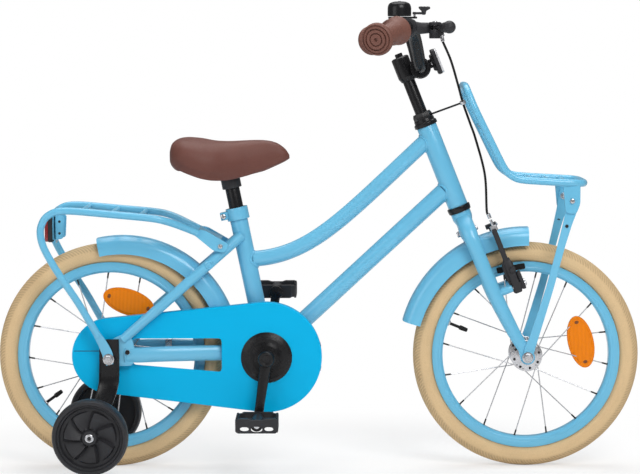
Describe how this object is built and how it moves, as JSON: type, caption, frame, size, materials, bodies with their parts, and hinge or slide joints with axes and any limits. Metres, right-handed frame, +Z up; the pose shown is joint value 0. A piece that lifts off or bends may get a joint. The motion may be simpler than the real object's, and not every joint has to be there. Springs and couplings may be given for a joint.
{
  "type": "child's bicycle",
  "caption": "Child's step-through bicycle with training wheels, chain case, mudguards, front and rear carriers, hand brake, bell and turning wheels, pedals and steering.",
  "frame": {"origin": "on the ground, midway between the two wheel axles, in the bicycle's middle plane", "axes": "+X the way it rides, +Y to the rider's left, +Z up; the chain is on the rider's right, at -Y"},
  "size_m": [1.136, 0.523, 0.828],
  "materials": {
    "pale_blue_paint": "gloss",
    "bright_blue_plastic": "gloss",
    "cream_rubber": "matt",
    "black_rubber": "matt",
    "black_plastic": "satin",
    "black_steel": "gloss",
    "bright_steel": "bright",
    "brown_leatherette": "satin",
    "brown_rubber": "matt",
    "amber_plastic": "clear gloss",
    "red_plastic": "clear gloss",
    "clear_plastic": "clear gloss"
  },
  "bodies": {
    "frame": {"head_tube": "pale_blue_paint", "top_tube": "pale_blue_paint", "down_tube": "pale_blue_paint", "seat_tube": "pale_blue_paint", "chain_stay_right": "pale_blue_paint", "chain_stay_left": "pale_blue_paint", "seat_stays": "pale_blue_paint", "seat_clamp": "pale_blue_paint", "upper_headset_cup": "black_steel", "lower_headset_cup": "black_steel", "bottom_bracket_bearing": "bright_steel", "chain_case": "bright_blue_plastic", "chain": "bright_steel", "rear_mudguard": "pale_blue_paint", "rear_rack": "pale_blue_paint", "rear_reflector": "red_plastic", "rear_axle": "bright_steel", "side_wheel_bracket_right": "black_steel", "side_wheel_bracket_left": "black_steel", "coaster_brake_arm": "bright_steel"},
    "seat": {"seat_post": "black_steel", "saddle_base": "black_plastic", "saddle_cover": "brown_leatherette"},
    "cranks": {"crank_spindle": "bright_steel", "crank_right": "black_steel", "crank_left": "black_steel", "chainring_with_disc": "black_plastic"},
    "pedal_right": {"pedal_right": "black_plastic"},
    "pedal_left": {"pedal_left": "black_plastic"},
    "rear_wheel": {"rear_tyre": "cream_rubber", "rear_inner_tube": "black_rubber", "rear_rim": "pale_blue_paint", "rear_hub_and_spokes": "bright_steel", "rear_spoke_reflector": "amber_plastic"},
    "rear_sprocket": {"rear_sprocket": "bright_steel"},
    "side_wheel_right": {"side_wheel_right": "black_plastic"},
    "side_wheel_left": {"side_wheel_left": "black_plastic"},
    "steering": {"fork": "pale_blue_paint", "stem": "black_steel", "handlebar": "black_steel", "grip_right": "brown_rubber", "grip_left": "brown_rubber", "brake_lever_body": "black_plastic", "brake_cable": "black_plastic", "bell": "black_steel", "front_reflector": "clear_plastic", "front_mudguard": "pale_blue_paint", "front_rack": "pale_blue_paint", "front_rack_leg_right": "pale_blue_paint", "front_rack_leg_left": "pale_blue_paint", "front_axle": "bright_steel"},
    "front_wheel": {"front_tyre": "cream_rubber", "front_inner_tube": "black_rubber", "front_rim": "pale_blue_paint", "front_hub_and_spokes": "bright_steel", "front_spoke_reflector": "amber_plastic"},
    "brake_lever": {"brake_lever": "black_plastic"},
    "brake_arm_right": {"brake_arm_right": "black_plastic"},
    "brake_arm_left": {"brake_arm_left": "black_plastic"},
    "bell_lever": {"bell_lever": "black_plastic"}
  },
  "joints": [
    {"name": "steering", "type": "hinge", "parent": "frame", "child": "steering", "pos_m": [0.2477, 0, 0.4637], "axis": [-0.3673, 0, 0.9301], "range_deg": [-75, 75]},
    {"name": "front_wheel_spin", "type": "hinge", "parent": "steering", "child": "front_wheel", "pos_m": [0.368, 0, 0.2], "axis": [0, 1, 0], "continuous": true},
    {"name": "rear_wheel_spin", "type": "hinge", "parent": "frame", "child": "rear_wheel", "pos_m": [-0.368, 0, 0.2], "axis": [0, 1, 0], "continuous": true},
    {"name": "crank_spin", "type": "hinge", "parent": "frame", "child": "cranks", "pos_m": [-0.0915, 0, 0.2003], "axis": [0, 1, 0], "continuous": true},
    {"name": "rear_sprocket_spin", "type": "hinge", "parent": "frame", "child": "rear_sprocket", "pos_m": [-0.368, 0, 0.2], "axis": [0, 1, 0], "continuous": true},
    {"name": "pedal_right_spin", "type": "hinge", "parent": "cranks", "child": "pedal_right", "pos_m": [-0.10597, -0.122, 0.09731], "axis": [0, 1, 0], "continuous": true},
    {"name": "pedal_left_spin", "type": "hinge", "parent": "cranks", "child": "pedal_left", "pos_m": [-0.07703, 0.122, 0.30329], "axis": [0, 1, 0], "continuous": true},
    {"name": "side_wheel_right_spin", "type": "hinge", "parent": "frame", "child": "side_wheel_right", "pos_m": [-0.394, -0.14, 0.075], "axis": [0, 1, 0], "continuous": true},
    {"name": "side_wheel_left_spin", "type": "hinge", "parent": "frame", "child": "side_wheel_left", "pos_m": [-0.394, 0.14, 0.075], "axis": [0, 1, 0], "continuous": true},
    {"name": "brake_lever_pull", "type": "hinge", "parent": "steering", "child": "brake_lever", "pos_m": [0.20047, -0.12, 0.77739], "axis": [0, 0, -1], "range_deg": [0, 24], "stiffness_Nm_per_rad": 0.4},
    {"name": "brake_arm_right_close", "type": "hinge", "parent": "steering", "child": "brake_arm_right", "pos_m": [0.34867, -0.0425, 0.3251], "axis": [-0.9301, 0, -0.3673], "range_deg": [0, 3.4]},
    {"name": "brake_arm_left_close", "type": "hinge", "parent": "steering", "child": "brake_arm_left", "pos_m": [0.34867, 0.0425, 0.3251], "axis": [0.9301, 0, 0.3673], "range_deg": [0, 3.4]},
    {"name": "bell_lever_push", "type": "hinge", "parent": "steering", "child": "bell_lever", "pos_m": [0.17529, 0.128, 0.79926], "axis": [0, 0, 1], "range_deg": [0, 22], "stiffness_Nm_per_rad": 0.02},
    {"name": "seat_height", "type": "slide", "parent": "frame", "child": "seat", "axis": [-0.2011, 0, 0.9796], "range_m": [-0.028, 0.055]}
  ],
  "couplings": [
    {"joint": "rear_sprocket_spin", "follows": "crank_spin", "ratio": 1.75},
    {"joint": "brake_arm_right_close", "follows": "brake_lever_pull", "ratio": 0.14167},
    {"joint": "brake_arm_left_close", "follows": "brake_lever_pull", "ratio": 0.14167}
  ]
}
